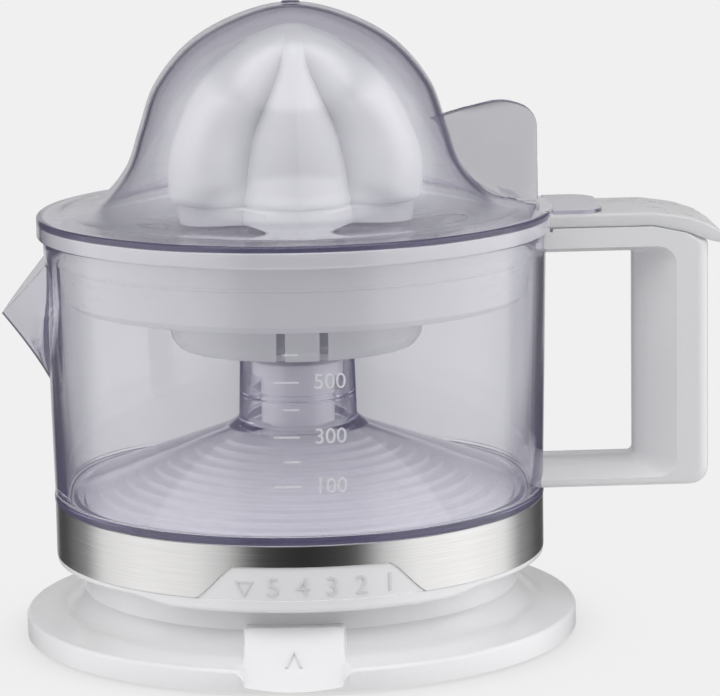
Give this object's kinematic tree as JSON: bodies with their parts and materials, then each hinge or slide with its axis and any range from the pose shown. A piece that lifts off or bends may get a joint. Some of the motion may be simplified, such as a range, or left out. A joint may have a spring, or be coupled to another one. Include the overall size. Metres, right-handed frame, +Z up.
{
  "type": "electric citrus press",
  "caption": "Round electric citrus press: motor base with turning pulp ring, clear jug with handle and spout, strainer, reamer cone and clear domed lid.",
  "frame": {"origin": "on the drive axis at the plane the feet stand on", "axes": "+Z up, the jug's handle along +X, its spout along -X, the front of the base towards -Y"},
  "size_m": [0.1989, 0.154, 0.1754],
  "materials": {
    "white": "gloss",
    "clear": "clear gloss",
    "milky": "milky translucent",
    "steel": "brushed round the band",
    "grey_mark": "matte",
    "rubber": "matte",
    "metal": "plated",
    "motor": "zinc",
    "copper": "enamelled wire",
    "gear": "satin",
    "black": "satin",
    "bronze": "sintered"
  },
  "bodies": {
    "base": {"foot": "white", "foot_pointer": "white", "motor_cover": "white", "bottom_plate": "white", "rubber_ring": "rubber", "plate_screws": "metal", "deck_screws": "metal", "gear_deck": "black", "top_deck": "black", "spindle_bush": "bronze", "motor_can": "motor", "motor_coil": "copper", "compound_axle": "metal", "cord_gland": "rubber", "spring_seat": "black", "return_spring": "metal", "switch_body": "black", "terminal_block": "gear", "terminal_screws": "metal"},
    "output_gear": {"output_gear": "gear"},
    "compound": {"compound_gear": "gear"},
    "rotor": {"motor_rotor": "metal", "motor_pinion": "bronze"},
    "spindle": {"spindle": "metal", "spring_cup": "metal"},
    "lever": {"switch_lever": "metal"},
    "button": {"switch_button": "gear"},
    "drive_shaft": {"drive_shaft": "white"},
    "cone": {"cone": "white"},
    "lift_ring": {"detent_ring": "gear"},
    "pulp_ring": {"pulp_ring": "white", "steel_band": "steel", "pulp_marks": "grey_mark"},
    "jug": {"jug": "clear", "jug_marks": "clear", "handle": "white", "handle_screw": "metal"},
    "strainer": {"strainer": "milky", "sieve": "milky"},
    "lid": {"lid": "clear"}
  },
  "joints": [
    {"name": "drive_spin", "type": "hinge", "parent": "base", "child": "output_gear", "pos_m": [0, 0, 0.036], "axis": [0, 0, 1], "continuous": true},
    {"name": "compound_spin", "type": "hinge", "parent": "base", "child": "compound", "pos_m": [0, 0.026, 0.034], "axis": [0, 0, 1], "continuous": true},
    {"name": "motor_spin", "type": "hinge", "parent": "base", "child": "rotor", "pos_m": [-0.02051, 0.02947, 0.02], "axis": [0, 0, 1], "continuous": true},
    {"name": "spindle_press", "type": "slide", "parent": "output_gear", "child": "spindle", "axis": [0, 0, 1], "range_m": [-0.002, 0], "stiffness_N_per_m": 1500, "springref_m": 0.005, "deforming": ["return_spring"]},
    {"name": "switch_lever_tilt", "type": "hinge", "parent": "base", "child": "lever", "pos_m": [-0.023, 0, 0.013], "axis": [0, 1, 0], "range_deg": [0, 6]},
    {"name": "switch_button_press", "type": "slide", "parent": "base", "child": "button", "axis": [0, 0, 1], "range_m": [-0.001, 0]},
    {"name": "shaft_lift", "type": "slide", "parent": "spindle", "child": "drive_shaft", "axis": [0, 0, 1], "range_m": [0, 0.06]},
    {"name": "cone_lift", "type": "slide", "parent": "drive_shaft", "child": "cone", "axis": [0, 0, 1], "range_m": [0, 0.05]},
    {"name": "pulp_rise", "type": "slide", "parent": "base", "child": "lift_ring", "axis": [0, 0, 1], "range_m": [-0.0012, 0.0018]},
    {"name": "pulp_turn", "type": "hinge", "parent": "lift_ring", "child": "pulp_ring", "pos_m": [0, 0, 0.03], "axis": [0, 0, 1], "range_deg": [-22.2, 11.1]},
    {"name": "jug_lift", "type": "slide", "parent": "pulp_ring", "child": "jug", "axis": [0, 0, 1], "range_m": [0, 0.05]},
    {"name": "strainer_lift", "type": "slide", "parent": "jug", "child": "strainer", "axis": [0, 0, 1], "range_m": [0, 0.045]},
    {"name": "lid_lift", "type": "slide", "parent": "strainer", "child": "lid", "axis": [0, 0, 1], "range_m": [0, 0.065]}
  ],
  "couplings": [
    {"joint": "compound_spin", "follows": "drive_spin", "ratio": -3.3333},
    {"joint": "motor_spin", "follows": "drive_spin", "ratio": 11.111},
    {"joint": "switch_lever_tilt", "follows": "spindle_press", "rad_per_m": -43.478},
    {"joint": "switch_button_press", "follows": "spindle_press", "ratio": 0.30435},
    {"joint": "shaft_lift", "follows": "jug_lift", "ratio": 1},
    {"joint": "cone_lift", "follows": "strainer_lift", "ratio": 1},
    {"joint": "pulp_rise", "follows": "pulp_turn", "m_per_rad": -0.0034464}
  ]
}
